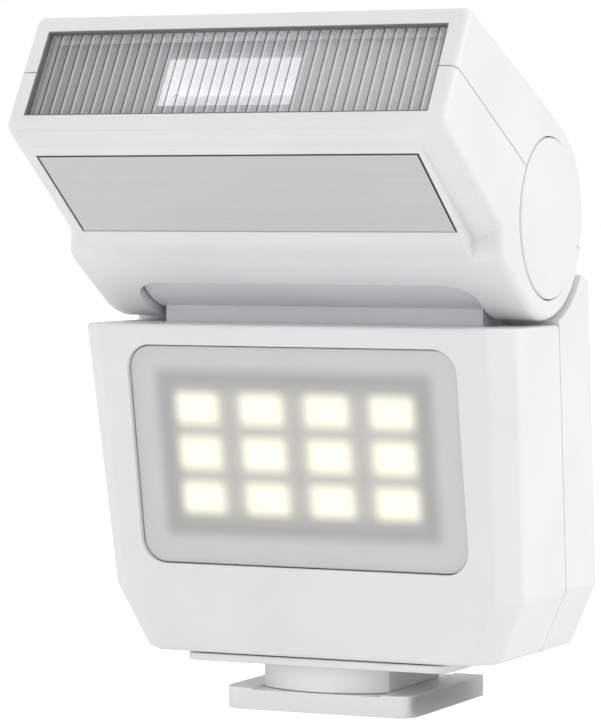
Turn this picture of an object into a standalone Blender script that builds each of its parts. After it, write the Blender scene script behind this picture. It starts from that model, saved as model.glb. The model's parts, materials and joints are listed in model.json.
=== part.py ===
"""Pocket on-camera flash: a tilting flash head on a raked body with an LED panel and a hot-shoe foot.

X runs to the right, the flash fires towards -Y, +Z is up. The origin is on the underside of the foot, at
its middle. Lengths below are millimetres and become metres where an object is made.
"""

import math

import bmesh
import bpy

MM = 0.001
FACETS = 64
SMOOTH_UNDER = math.radians(32)

# Hot-shoe foot
FOOT_WIDTH = 18.6
FOOT_LENGTH = 17.6
FOOT_THICK = 2.0
FOOT_CORNER = 1.75
STEM_HALF = 6.2
SEAT_DEPTH = 0.15
FOOT_SCREW_X = 4.7
STEM_TOP = 4.2
BASE_SCREWS = ((-11.0, -6.4), (11.0, -6.4), (-11.0, 7.4), (11.0, 7.4))
PIN_RADIUS = 1.1
PIN_PROUD = 0.45

# Body: it leans forward, its top and bottom stay level
RAKE = 0.179
FRONT_AT_ZERO = -9.07
BODY_DEPTH = 22.5
BODY_BOTTOM = 5.14
BODY_KINK = 11.0
BODY_TOP = 35.1
REAR_TOP = 40.0
HALF_BOTTOM = 17.27
HALF_KINK = 20.12
HALF_TOP = 20.96
FRONT_INSET = 2.1
FRONT_CHAMFER = 2.3
REAR_CHAMFER = 1.9
PARTING = 12.7
WALL = 1.3
SEAM = 0.1
EDGE = 0.35

# LED panel
WINDOW_HALF = 15.95
WINDOW_LOW = 13.3
WINDOW_HIGH = 33.25
WINDOW_CORNER = 2.2
WINDOW_SINK = 0.45
LED_COLUMNS = 4
LED_ROWS = 3
LED_PITCH_X = 6.33
LED_PITCH_Z = 4.1
LED_MIDDLE = 23.5

# Buttons on the back: name, across, height, radius
BUTTONS = (("test_button", -8.5, 20.0, 2.4), ("level_button", 8.5, 20.0, 2.4))

# Hinge
AXIS_Y = -5.265
AXIS_Z = 44.567
TILT = math.radians(32.0)
BARREL = 9.0
CRADLE = 9.45
BARREL_BORE = 8.5
KNUCKLE = 8.25
KNUCKLE_HALF = 16.2
SLOT_HALF = 16.5
POST_HALF = 15.6
POST_FRONT = -7.5
POST_REAR = -3.0
PIN_BORE = 2.58
HINGE_PIN = 2.5
CAP_RADIUS = 7.12
CAP_POCKET = 7.25
CAP_POCKET_FLOOR = 18.6

# Head, in its own frame: u runs from the hinge axis to the lens, v runs up
FACE_U = 24.35
FACE_TOP = 5.9
FACE_BOTTOM = -5.97
HEAD_HALF = 20.95
HEAD_FACE_HALF = 20.55
STEP_U = 9.0
STEP_V = -6.86
SIDE_ROUND = 0.8
CORNER_ROUND = 1.0
PAD_HALF = 18.25
HEAD_SCREW_X = 14.0
HEAD_SCREW_U = 16.5
REFLECTOR_X = -1.2
REFLECTOR_V = 0.2
REFLECTOR_HALF = 7.0
LENS_HALF = 18.93
LENS_LOW = -4.68
LENS_HIGH = 4.12
LENS_SINK = 0.55
RIBS = 38
SLOT_FRONT_U = 3.4
SLOT_REAR_V = 3.1
SEAM_FRONT_V = -0.2
SEAM_SLOPE = 0.06
PLATE_FRONT = (22.05, -7.44)
PLATE_REAR = (11.38, -8.39)
PLATE_HALF = 17.87
PLATE_THICK = 0.3

PALETTE = {
    "shell_white": ((0.83, 0.83, 0.83), 0.38, 0.0),
    "hinge_grey": ((0.7, 0.71, 0.73), 0.45, 0.0),
    "label_silver": ((0.66, 0.66, 0.67), 0.42, 0.6),
    "lens_clear": ((0.72, 0.73, 0.73), 0.12, 0.0),
    "opal": ((0.78, 0.77, 0.74), 0.5, 0.0),
    "foot_metal": ((0.7, 0.7, 0.71), 0.32, 1.0),
    "contact_gold": ((0.83, 0.62, 0.28), 0.28, 1.0),
    "screw_steel": ((0.45, 0.45, 0.47), 0.35, 1.0),
    "reflector_metal": ((0.86, 0.86, 0.87), 0.12, 1.0),
    "tube_glass": ((0.85, 0.88, 0.9), 0.05, 0.0),
    "frame_grey": ((0.5, 0.5, 0.5), 0.5, 0.0),
    "gasket_grey": ((0.13, 0.13, 0.135), 0.6, 0.0),
    "black_plastic": ((0.03, 0.03, 0.032), 0.5, 0.0),
    "board_green": ((0.03, 0.16, 0.07), 0.5, 0.0),
    "led_yellow": ((0.95, 0.85, 0.45), 0.4, 0.0),
    "battery_foil": ((0.62, 0.63, 0.65), 0.35, 0.7),
    "sleeve_dark": ((0.05, 0.06, 0.09), 0.4, 0.0),
    "washer_nylon": ((0.8, 0.79, 0.74), 0.5, 0.0),
}


# ---------------------------------------------------------------- making objects


def clear_scene():
    for found in list(bpy.data.objects):
        bpy.data.objects.remove(found, do_unlink=True)


def paint(name):
    found = bpy.data.materials.get(name)
    if found:
        return found
    colour, roughness, metallic = PALETTE[name]
    made = bpy.data.materials.new(name)
    made.use_nodes = True
    shader = made.node_tree.nodes["Principled BSDF"]
    shader.inputs["Base Color"].default_value = (*colour, 1.0)
    shader.inputs["Roughness"].default_value = roughness
    shader.inputs["Metallic"].default_value = metallic
    return made


def solid(name, loops, finish=None, parent=None):
    """Closed skin through rings of equal length, capped at both ends. With no finish it is a cutter."""
    mesh = bmesh.new()
    rings = [[mesh.verts.new([MM * c for c in point]) for point in loop] for loop in loops]
    count = len(rings[0])
    for low, high in zip(rings, rings[1:]):
        for i in range(count):
            j = (i + 1) % count
            mesh.faces.new((low[i], low[j], high[j], high[i]))
    mesh.faces.new(list(reversed(rings[0])))
    mesh.faces.new(rings[-1])
    bmesh.ops.recalc_face_normals(mesh, faces=mesh.faces)
    data = bpy.data.meshes.new(name)
    mesh.to_mesh(data)
    mesh.free()
    return dress(bpy.data.objects.new(name, data), finish, parent)


def dress(made, finish, parent):
    bpy.context.scene.collection.objects.link(made)
    if finish:
        made.data.materials.append(paint(finish))
    else:
        made.hide_render = True
        made.display_type = "WIRE"
    if parent:
        made.parent = parent
    if made.type == "MESH":
        made.data.shade_smooth()
        made.data.set_sharp_from_angle(angle=SMOOTH_UNDER)
    return made


def change(target, cutter, how="DIFFERENCE"):
    step = target.modifiers.new(f"{how.lower()} {cutter.name}", "BOOLEAN")
    step.operation = how
    step.solver = "EXACT"
    step.object = cutter
    return target


def round_edges(target, width, segments=2, angle=25):
    step = target.modifiers.new("round edges", "BEVEL")
    step.width = width * MM
    step.segments = segments
    step.limit_method = "ANGLE"
    step.angle_limit = math.radians(angle)
    return target


# ---------------------------------------------------------------- outlines and frames


def circle(radius, centre=(0.0, 0.0), facets=FACETS):
    return arc(radius, 0, 360 * (1 - 1 / facets), facets - 1, centre)


def arc(radius, start, end, steps, centre=(0.0, 0.0)):
    angles = [math.radians(start + (end - start) * i / steps) for i in range(steps + 1)]
    return [(centre[0] + radius * math.cos(a), centre[1] + radius * math.sin(a)) for a in angles]


def rectangle(a0, a1, b0, b1):
    return [(a0, b0), (a1, b0), (a1, b1), (a0, b1)]


def rounded(a0, a1, b0, b1, radius, steps=6):
    corners = ((a1, b1, 0), (a0, b1, 90), (a0, b0, 180), (a1, b0, 270))
    outline = []
    for a, b, start in corners:
        centre = (a - math.copysign(radius, a - (a0 + a1) / 2), b - math.copysign(radius, b - (b0 + b1) / 2))
        outline += arc(radius, start, start + 90, steps, centre)
    return outline


def raked(x, z, depth):
    """A point of the body: depth is measured back from its leaning front face."""
    return (x, FRONT_AT_ZERO - RAKE * z + depth, z)


def in_head(u, v, x):
    return (x, -u, v)


def in_plan(x, y, z):
    return (x, y, z)


def along_x(y, z, x):
    return (x, y, z)


def prism(name, outline, low, high, place, finish=None, parent=None):
    loops = [[place(a, b, t) for a, b in outline] for t in (low, high)]
    return solid(name, loops, finish, parent)


def turned(name, profile, place, finish=None, parent=None, facets=32, centre=(0.0, 0.0)):
    """Round piece from (radius, position along the axis) pairs."""
    loops = [[place(a, b, t) for a, b in circle(r, centre, facets)] for r, t in profile]
    return solid(name, loops, finish, parent)


# ---------------------------------------------------------------- foot


def foot_outline():
    half, end = FOOT_WIDTH / 2, FOOT_LENGTH / 2
    left = arc(FOOT_CORNER, 180, 270, 6, (-half + FOOT_CORNER, -end + FOOT_CORNER))
    right = arc(FOOT_CORNER, 270, 360, 6, (half - FOOT_CORNER, -end + FOOT_CORNER))
    return left + right + [(half, end), (-half, end)]


def stem_outline(grow=0.0):
    """Flat sides, a bowed front and a straight back with round corners."""
    half = STEM_HALF + grow
    bow = 9.5 + grow
    sweep = math.degrees(math.asin(half / bow))
    front = arc(bow, 270 - sweep, 270 + sweep, 12, (0.0, 0.8))
    back_right = arc(1.0, 0, 90, 4, (half - 1.0, 6.2 + grow - 1.0))
    back_left = arc(1.0, 90, 180, 4, (-half + 1.0, 6.2 + grow - 1.0))
    return front + back_right + back_left


def make_foot():
    foot = prism("shoe_foot", foot_outline(), 0.0, FOOT_THICK, in_plan, "foot_metal")
    round_edges(foot, 0.18, 2, 60)
    seat = rectangle(-STEM_HALF - 0.15, STEM_HALF + 0.15, -10.0, 10.0)
    change(foot, prism("cut_stem_seat", seat, FOOT_THICK - SEAT_DEPTH, 3.0, in_plan))
    bore = [(2.9, -1.0), (2.9, 0.9), (3.4, 0.9), (3.4, 3.0)]
    change(foot, turned("cut_insulator_bore", bore, in_plan))
    stepped = [(2.8, 0.06), (2.8, 1.0), (3.3, 1.0), (3.3, 1.8)]
    block = turned("contact_insulator", stepped, in_plan, "black_plastic")
    guide = [(PIN_RADIUS + 0.08, -1.0), (PIN_RADIUS + 0.08, 0.9), (2.0, 0.9), (2.0, 3.0)]
    change(block, turned("cut_contact_guide", guide, in_plan))
    tip = [(0.75, -PIN_PROUD), (PIN_RADIUS, 0.25 - PIN_PROUD), (PIN_RADIUS, 0.95), (1.85, 0.95), (1.85, 1.25)]
    turned("centre_contact", tip, in_plan, "contact_gold", facets=24)
    make_contact_spring()
    for side in (-1, 1):
        name = "left" if side < 0 else "right"
        spot = (side * FOOT_SCREW_X, 0.0)
        change(foot, turned(f"cut_foot_hole_{name}", [(0.75, -1.0), (0.75, 3.0)], in_plan, centre=spot))
        change(foot, turned(f"cut_foot_sink_{name}", [(1.35, -1.0), (1.35, 0.95)], in_plan, centre=spot))
        head = [(1.2, 0.12), (1.2, 0.8), (0.6, 0.86), (0.6, 3.85)]
        screw = turned(f"foot_screw_{name}", head, in_plan, "screw_steel", facets=24, centre=spot)
        change(screw, cross_slot(f"cut_cross_{name}", spot, 0.0, 0.4))


def cross_slot(name, centre, low, high):
    """Cutter for a cross recess in a screw head that faces down."""
    wide, long = 0.16, 0.75
    outline = []
    for turn in range(4):
        c, s = math.cos(turn * math.pi / 2), math.sin(turn * math.pi / 2)
        for a, b in ((wide, wide), (long, wide), (long, -wide)):
            outline.append((centre[0] + a * c + b * s, centre[1] + a * s - b * c))
    return prism(name, outline, low, high, in_plan)


def make_contact_spring():
    turns, per_turn, radius, low, high = 4, 14, 1.25, 1.5, 3.7
    spline_data = bpy.data.curves.new("contact_spring", "CURVE")
    spline_data.dimensions = "3D"
    spline_data.bevel_depth = 0.16 * MM
    spline_data.bevel_resolution = 1
    spline_data.use_fill_caps = True
    spline = spline_data.splines.new("POLY")
    count = turns * per_turn + 1
    spline.points.add(count - 1)
    for i in range(count):
        angle = 2 * math.pi * i / per_turn
        height = low + (high - low) * i / (count - 1)
        place = (radius * math.cos(angle) * MM, radius * math.sin(angle) * MM, height * MM, 1.0)
        spline.points[i].co = place
    dress(bpy.data.objects.new("contact_spring", spline_data), "screw_steel", None)


def make_base():
    """The plate under the body, with the stem that carries the foot."""
    plate = prism("base_plate", rounded(-13.0, 13.0, -9.5, 10.4, 1.8), 4.3, 5.0, in_plan, "shell_white")
    low = FOOT_THICK - SEAT_DEPTH + 0.03
    stem = round_edges(prism("join_stem", stem_outline(), low, STEM_TOP + 0.4, in_plan), 0.15, 1, 60)
    change(plate, stem, "UNION")
    change(plate, turned("cut_spring_well", [(1.95, 1.0), (1.95, 3.9)], in_plan))
    change(plate, turned("cut_wire_hole", [(0.5, 3.0), (0.5, 6.0)], in_plan))
    for side in (-1, 1):
        spot = (side * FOOT_SCREW_X, 0.0)
        change(plate, turned(f"cut_stem_{side}", [(0.75, 1.0), (0.75, 4.1)], in_plan, centre=spot))
    for i, (x, y) in enumerate(BASE_SCREWS, 1):
        hole = turned(f"cut_base_hole_{i}", [(0.8, 3.0), (0.8, 6.9)], in_plan, centre=(x, y))
        sink = turned(f"cut_base_sink_{i}", [(1.45, 3.0), (1.45, 4.68)], in_plan, centre=(x, y))
        change(plate, hole)
        change(plate, sink)
        head = [(1.3, 4.34), (1.3, 4.6), (0.65, 4.62), (0.65, 6.6)]
        screw = turned(f"base_screw_{i}", head, in_plan, "screw_steel", facets=24, centre=(x, y))
        change(screw, cross_slot(f"cut_base_cross_{i}", (x, y), 4.0, 4.5))


# ---------------------------------------------------------------- body


def half_width(z):
    if z <= BODY_KINK:
        return HALF_BOTTOM + (HALF_KINK - HALF_BOTTOM) * (z - BODY_BOTTOM) / (BODY_KINK - BODY_BOTTOM)
    return HALF_KINK + (HALF_TOP - HALF_KINK) * (z - BODY_KINK) / (BODY_TOP - BODY_KINK)


def body_ring(depth, inset, low, top):
    levels = (low, BODY_KINK, top)
    right = [raked(half_width(z) - inset, z, depth) for z in levels]
    left = [raked(inset - half_width(z), z, depth) for z in reversed(levels)]
    return right + left


def base_holes(shell, name):
    for i, (x, y) in enumerate(BASE_SCREWS, 1):
        change(shell, turned(f"cut_{name}_{i}", [(0.8, 4.0), (0.8, 8.0)], in_plan, centre=(x, y)))


def make_front_shell():
    rings = [body_ring(0.0, FRONT_INSET, BODY_BOTTOM, BODY_TOP)]
    rings.append(body_ring(FRONT_CHAMFER, 0.0, BODY_BOTTOM, BODY_TOP))
    rings.append(body_ring(PARTING + 4, 0.0, BODY_BOTTOM, BODY_TOP))
    shell = solid("body_front_shell", rings, "shell_white")
    round_edges(shell, EDGE)
    hollow = [body_ring(WALL, FRONT_INSET + WALL, BODY_BOTTOM + WALL, BODY_TOP - WALL)]
    hollow.append(body_ring(WALL + FRONT_CHAMFER, WALL, BODY_BOTTOM + WALL, BODY_TOP - WALL))
    hollow.append(body_ring(PARTING + 9, WALL, BODY_BOTTOM + WALL, BODY_TOP - WALL))
    change(shell, solid("cut_front_hollow", hollow))
    window = rounded(-WINDOW_HALF, WINDOW_HALF, WINDOW_LOW, WINDOW_HIGH, WINDOW_CORNER)
    change(shell, prism("cut_led_window", window, -2.0, 4.0, raked))
    notch = rectangle(-POST_HALF - 0.2, POST_HALF + 0.2, POST_FRONT - 0.2, 12.0)
    change(shell, prism("cut_post_notch", notch, BODY_TOP - 3, BODY_TOP + 2, in_plan))
    base_holes(shell, "front_base")
    behind = rectangle(-30.0, 30.0, -5.0, 60.0)
    change(shell, prism("cut_behind_parting", behind, PARTING - SEAM / 2, PARTING + 20, raked))


def make_rear_shell():
    rings = [body_ring(6.0, 0.0, BODY_BOTTOM, REAR_TOP)]
    rings.append(body_ring(BODY_DEPTH - REAR_CHAMFER, 0.0, BODY_BOTTOM, REAR_TOP))
    rings.append(body_ring(BODY_DEPTH, REAR_CHAMFER, BODY_BOTTOM, REAR_TOP))
    shell = solid("body_rear_shell", rings, "shell_white")
    round_edges(shell, EDGE)
    roof = BODY_TOP - WALL
    hollow = [body_ring(3.0, WALL, BODY_BOTTOM + WALL, roof)]
    hollow.append(body_ring(BODY_DEPTH - WALL - REAR_CHAMFER, WALL, BODY_BOTTOM + WALL, roof))
    hollow.append(body_ring(BODY_DEPTH - WALL, REAR_CHAMFER + WALL, BODY_BOTTOM + WALL, roof))
    change(shell, solid("cut_rear_hollow", hollow))
    change(shell, prism("cut_cradle", circle(CRADLE, (AXIS_Y, AXIS_Z)), -30.0, 30.0, along_x))
    slope = [(-9.0, 39.9), (2.9, 39.5), (5.3, 38.6), (12.0, 36.1), (12.0, 60.0), (-9.0, 60.0)]
    change(shell, prism("cut_rear_top", slope, -30.0, 30.0, along_x))
    ahead = rectangle(-30.0, 30.0, -5.0, 60.0)
    change(shell, prism("cut_ahead_parting", ahead, -20.0, PARTING + SEAM / 2, raked))
    base_holes(shell, "rear_base")
    for name, x, z, radius in BUTTONS:
        hole = circle(radius + 0.12, (x, z), 40)
        change(shell, prism(f"cut_{name}", hole, BODY_DEPTH - 3, BODY_DEPTH + 2, raked))
    change(shell, prism("cut_switch", rounded(-4.2, 4.2, 28.0, 31.0, 0.8), 19.0, 26.0, raked))
    change(shell, prism("cut_usb", rounded(-4.7, 4.7, 9.0, 12.6, 1.5), 19.0, 26.0, raked))
    change(shell, prism("cut_indicator", circle(0.85, (0.0, 20.0), 24), 19.0, 26.0, raked))


# ---------------------------------------------------------------- LED panel


def make_led_panel():
    back = 2.0
    half, low, high = WINDOW_HALF - 0.08, WINDOW_LOW + 0.08, WINDOW_HIGH - 0.08
    pane = rounded(-half, half, low, high, WINDOW_CORNER - 0.08)
    diffuser = prism("led_diffuser", pane, WINDOW_SINK, back, raked, "opal")
    rim = rounded(-WINDOW_HALF - 0.8, WINDOW_HALF + 0.8, WINDOW_LOW - 0.8, WINDOW_HIGH + 0.3, 2.4)
    change(diffuser, prism("join_led_rim", rim, WALL + 0.06, back, raked), "UNION")
    frame = prism("led_frame", rectangle(-16.4, 16.4, 12.6, 33.3), back + 0.1, 4.0, raked, "shell_white")
    change(frame, prism("cut_led_frame", rounded(-13.4, 13.4, 15.9, 31.1, 0.8), 1.0, 5.0, raked))
    prism("led_board", rectangle(-16.2, 16.2, 12.8, 33.2), 4.2, 5.2, raked, "board_green")
    array = prism("led_array", rectangle(-12.4, 12.4, 17.4, 29.6), 4.0, 4.14, raked, "led_yellow")
    for row in range(LED_ROWS):
        for column in range(LED_COLUMNS):
            x = LED_PITCH_X * (column - (LED_COLUMNS - 1) / 2)
            z = LED_MIDDLE + LED_PITCH_Z * ((LED_ROWS - 1) / 2 - row)
            chip = rectangle(x - 1.75, x + 1.75, z - 1.4, z + 1.4)
            change(array, prism(f"join_chip_{row + 1}_{column + 1}", chip, 3.4, 4.07, raked), "UNION")


# ---------------------------------------------------------------- inside the body and its controls


def make_inside():
    cell = prism("battery", rounded(-16.0, 16.0, 17.2, 29.8, 1.2), 5.8, 13.4, raked, "battery_foil")
    round_edges(cell, 0.6, 2, 60)
    ring = [(4.2, -15.0), (4.4, -14.8), (4.4, -13.4), (4.2, -13.2), (4.4, -13.0), (4.4, 6.8), (4.2, 7.0)]
    centre = raked(0.0, 11.6, 10.8)[1:]
    turned("flash_capacitor", ring, along_x, "sleeve_dark", centre=centre)
    coil = prism("booster_transformer", rectangle(8.6, 15.2, 8.4, 14.8), 7.4, 13.6, raked, "black_plastic")
    round_edges(coil, 0.5, 1, 60)
    prism("main_board", rectangle(-16.4, 16.4, 8.0, 31.2), 15.9, 16.9, raked, "board_green")
    for name, x, z, radius in BUTTONS:
        square = rectangle(x - 2.6, x + 2.6, z - 2.6, z + 2.6)
        prism(f"{name}_switch", square, 17.0, 19.7, raked, "black_plastic")
        cap = prism(name, circle(radius, (x, z), 40), 20.2, BODY_DEPTH + 0.5, raked, "hinge_grey")
        flange = circle(radius + 0.7, (x, z), 40)
        change(cap, prism(f"join_{name}", flange, 20.2, BODY_DEPTH - WALL - 0.15, raked), "UNION")
        round_edges(cap, 0.2, 2, 60)
    make_mode_switch()
    make_usb()
    prism("indicator_lens", circle(0.75, (0.0, 20.0), 24), 17.1, BODY_DEPTH + 0.05, raked, "lens_clear")


def make_mode_switch():
    prism("mode_switch_body", rectangle(-4.3, 4.3, 27.8, 31.1), 17.0, 19.4, raked, "black_plastic")
    grip = rounded(-2.2, 2.2, 28.2, 30.8, 0.6, 4)
    knob = prism("mode_slider", grip, 19.6, BODY_DEPTH + 0.7, raked, "hinge_grey")
    cover = rectangle(-6.3, 6.3, 27.3, 31.7)
    change(knob, prism("join_slider_cover", cover, 20.1, BODY_DEPTH - WALL - 0.15, raked), "UNION")
    for i in range(3):
        x = 0.9 * (i - 1)
        groove = rectangle(x - 0.16, x + 0.16, 27.0, 32.0)
        change(knob, prism(f"cut_grip_{i + 1}", groove, BODY_DEPTH + 0.45, BODY_DEPTH + 2, raked))


def make_usb():
    outer = rounded(-4.47, 4.47, 9.2, 12.4, 1.4)
    shell = prism("charge_port", outer, 17.05, BODY_DEPTH - 0.1, raked, "screw_steel")
    inner = rounded(-4.17, 4.17, 9.5, 12.1, 1.2)
    change(shell, prism("cut_port", inner, 17.6, BODY_DEPTH + 2, raked))
    prism("port_tongue", rectangle(-3.2, 3.2, 10.5, 11.1), 17.7, BODY_DEPTH - 0.7, raked, "black_plastic")


# ---------------------------------------------------------------- hinge


def make_knuckle():
    outline = circle(KNUCKLE, (AXIS_Y, AXIS_Z))
    knuckle = prism("hinge_knuckle", outline, -KNUCKLE_HALF, KNUCKLE_HALF, along_x, "hinge_grey")
    post = rectangle(-POST_HALF, POST_HALF, POST_FRONT, POST_REAR)
    change(knuckle, prism("join_post", post, BODY_TOP - 2.2, AXIS_Z - 5, in_plan), "UNION")
    flange = rectangle(-POST_HALF - 1.6, POST_HALF + 1.6, POST_FRONT - 1.2, POST_REAR - 0.1)
    change(knuckle, prism("join_flange", flange, BODY_TOP - 3.0, BODY_TOP - WALL - 0.15, in_plan), "UNION")
    change(knuckle, prism("cut_pin_bore", circle(PIN_BORE, (AXIS_Y, AXIS_Z), 32), -30.0, 30.0, along_x))
    channel = rectangle(-2.2, 2.2, POST_FRONT + 1.0, POST_REAR - 1.0)
    change(knuckle, prism("cut_wire_channel", channel, BODY_TOP - 6, AXIS_Z, in_plan))
    for side in (-1, 1):
        name = "left" if side < 0 else "right"
        recess = circle(5.1, (AXIS_Y, AXIS_Z), 40)
        ends = (side * (KNUCKLE_HALF - 0.5), side * (KNUCKLE_HALF + 1))
        change(knuckle, prism(f"cut_washer_{name}", recess, min(ends), max(ends), along_x))


def make_hinge_ends(pivot):
    for side in (-1, 1):
        name = "left" if side < 0 else "right"

        def outward(a, b, t, side=side):
            return (side * t, a, b)

        rim, eye = circle(5.0, facets=40), circle(PIN_BORE + 0.1, facets=32)
        ring = prism(f"friction_washer_{name}", rim, 15.78, 16.38, outward, "washer_nylon", pivot)
        change(ring, prism(f"cut_ring_{name}", eye, 15.0, 17.0, outward, parent=pivot))
        shaft = [(HINGE_PIN, 11.0), (HINGE_PIN, 18.66), (4.4, 18.66), (4.4, 19.5)]
        pin = turned(f"hinge_pin_{name}", shaft, outward, "screw_steel", pivot)
        change(pin, turned(f"cut_pin_{name}", [(1.6, 10.0), (1.6, 21.0)], outward, parent=pivot))
        disc = [(CAP_RADIUS, 19.75), (CAP_RADIUS, 20.95), (CAP_RADIUS - 0.2, 21.1)]
        turned(f"hinge_cap_{name}", disc, outward, "shell_white", pivot, 96)


# ---------------------------------------------------------------- head


def tangent_angle():
    """Where the flat top meets the barrel, as an angle about the hinge axis from the u direction."""
    reach = math.hypot(FACE_U, FACE_TOP)
    return math.degrees(math.atan2(FACE_TOP, FACE_U) + math.acos(BARREL / reach))


def corner(before, here, after):
    """Inward normals of the two edges that meet here, and the shift that insets both by one."""
    normals = []
    for start, end in ((before, here), (here, after)):
        run = (end[0] - start[0], end[1] - start[1])
        long = math.hypot(*run)
        normals.append((-run[1] / long, run[0] / long))
    first, second = normals
    share = 1 + first[0] * second[0] + first[1] * second[1]
    return first, second, ((first[0] + second[0]) / share, (first[1] + second[1]) / share)


def inset(outline, distance):
    moved = []
    for i, here in enumerate(outline):
        shift_in = corner(outline[i - 1], here, outline[(i + 1) % len(outline)])[2]
        moved.append((here[0] + distance * shift_in[0], here[1] + distance * shift_in[1]))
    return moved


def round_corner(before, here, after, radius, steps):
    first, second, shift_in = corner(before, here, after)
    start = math.degrees(math.atan2(-first[1], -first[0]))
    turn = (math.degrees(math.atan2(-second[1], -second[0])) - start) % 360
    centre = (here[0] + radius * shift_in[0], here[1] + radius * shift_in[1])
    return arc(radius, start, start + turn, steps, centre)


def head_outline():
    """Side view: barrel, the step up to the underside of the box, face and flat top."""
    back = arc(BARREL, tangent_angle(), 270, 44)
    step = [(7.0, -BARREL), (7.75, -8.8), (8.3, -8.1), (STEP_U, STEP_V)]
    low, high = (FACE_U, FACE_BOTTOM), (FACE_U, FACE_TOP)
    face = round_corner(step[-1], low, high, CORNER_ROUND, 4)
    return back + step + face + round_corner(low, high, back[0], CORNER_ROUND, 4)


def head_block(name, finish, pivot):
    """Rings of the outline from side to side, drawn in towards each side to round its edge."""
    rings = []
    for side in (-1, 1):
        for i in range(5):
            angle = math.radians(90 * (i if side < 0 else 4 - i) / 4)
            drawn = inset(head_outline(), SIDE_ROUND * (1 - math.sin(angle)) + 0.001)
            x = HEAD_HALF - SIDE_ROUND * (1 - math.cos(angle))
            rings.append([in_head(u, v, side * x) for u, v in drawn])
    return draft(solid(name, rings, finish, pivot))


def draft(block):
    """Narrows the head from the step to the lens. The sides are split at the step, so each piece is flat."""
    mesh = bmesh.new()
    mesh.from_mesh(block.data)
    everything = mesh.verts[:] + mesh.edges[:] + mesh.faces[:]
    step = in_head(STEP_U, 0.0, 0.0)
    bmesh.ops.bisect_plane(mesh, geom=everything, plane_co=[c * MM for c in step], plane_no=(0.0, 1.0, 0.0))
    for point in mesh.verts:
        share = max(0.0, (-point.co.y / MM - STEP_U) / (FACE_U - STEP_U))
        point.co.x *= 1 - share * (1 - HEAD_FACE_HALF / HEAD_HALF)
    mesh.to_mesh(block.data)
    mesh.free()
    return block


def chin(name, pivot):
    """The chamfered underside between the face, the sides and the step. Its slanted sides are flat."""
    rings = []
    for front, rear in (((24.0, -5.85, 20.2), (8.8, -6.72, 20.6)), ((22.9, -6.85, 18.5), (8.2, -7.4, 19.42))):
        corners = [(front, -1), (front, 1), (rear, 1), (rear, -1)]
        rings.append([in_head(u, v, side * x) for (u, v, x), side in corners])
    return solid(f"join_chin_{name}", rings, parent=pivot)


def label_pad(pivot):
    front = [(6.0, -5.0), (22.75, -5.0), (22.75, -6.8), (22.35, -7.42)]
    rear = [(11.3, -8.42), (10.3, -8.86), (9.4, -8.97), (6.0, -8.97)]
    return prism("join_label_pad", front + rear, -PAD_HALF, PAD_HALF, in_head, parent=pivot)


def half_space(name, above, pivot):
    far, gap = 40.0, SEAM / 2
    front = SEAM_FRONT_V + SEAM_SLOPE * (FACE_U + far)
    back = SEAM_FRONT_V + SEAM_SLOPE * (FACE_U - far)
    if above:
        outline = [(-far, front + gap), (far, back + gap), (far, far), (-far, far)]
    else:
        outline = [(-far, front - gap), (far, back - gap), (far, -far), (-far, -far)]
    return prism(name, outline, -30.0, 30.0, in_head, parent=pivot)


def head_cutters(pivot):
    """The cavities that both head shells share."""
    ahead, behind = [(22.2, LENS_HIGH + 0.5), (22.2, LENS_LOW - 0.35)], [(4.0, -5.5), (4.0, 7.2)]
    cavity = ahead + [(9.0, -5.5)] + behind + [(9.0, 6.7)]
    cutters = [prism("cut_head_cavity", cavity, -19.2, 19.2, in_head, parent=pivot)]
    bore, through = circle(BARREL_BORE), circle(PIN_BORE, facets=32)
    cutters.append(prism("cut_barrel_bore", bore, -SLOT_HALF, SLOT_HALF, in_head, parent=pivot))
    mouth = rectangle(-LENS_HALF, LENS_HALF, LENS_LOW, LENS_HIGH)
    cutters.append(prism("cut_lens_mouth", mouth, -26.0, -21.0, lens_wise, parent=pivot))
    slot = arc(2.8, 0, 90, 6, (SLOT_HALF - 2.8, SLOT_FRONT_U - 2.8))
    slot += arc(2.8, 90, 180, 6, (2.8 - SLOT_HALF, SLOT_FRONT_U - 2.8))
    slot += [(-SLOT_HALF, -12.0), (SLOT_HALF, -12.0)]
    cutters.append(prism("cut_post_slot", slot, -12.0, SLOT_REAR_V, slot_wise, parent=pivot))
    cutters.append(prism("cut_head_pin_bore", through, -30.0, 30.0, in_head, parent=pivot))
    for side in (-1, 1):
        name = "left" if side < 0 else "right"
        ends = sorted((side * CAP_POCKET_FLOOR, side * 30.0))
        pocket = circle(CAP_POCKET, facets=96)
        cutters.append(prism(f"cut_cap_pocket_{name}", pocket, *ends, in_head, parent=pivot))
    return cutters


def lens_wise(x, v, y):
    return (x, y, v)


def slot_wise(x, u, v):
    return (x, -u, v)


def make_head_shells(pivot):
    cutters = head_cutters(pivot)
    for name, above in (("head_upper_shell", True), ("head_lower_shell", False)):
        shell = head_block(name, "shell_white", pivot)
        if not above:
            change(shell, round_edges(chin(name, pivot), 0.3, 2, 10), "UNION")
            change(shell, round_edges(label_pad(pivot), 0.28, 2, 60), "UNION")
        for cutter in cutters:
            change(shell, cutter)
        change(shell, half_space(f"keep_{name}", above, pivot), "INTERSECT")
        if not above:
            change(shell, label_recess(pivot))
            for x in (-HEAD_SCREW_X, HEAD_SCREW_X):
                for part, radius, low, high in (("hole", 0.8, -9.0, -4.0), ("sink", 1.5, -12.0, -6.6)):
                    name = f"cut_head_{part}_{int(x)}"
                    bore = turned(name, [(radius, low), (radius, high)], across_head, parent=pivot)
                    change(shell, shift(bore, x, HEAD_SCREW_U))


def across_head(x, y, v):
    return (x, y, v)


def shift(made, x, u):
    made.location = (x * MM, -u * MM, 0.0)
    return made



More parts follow.
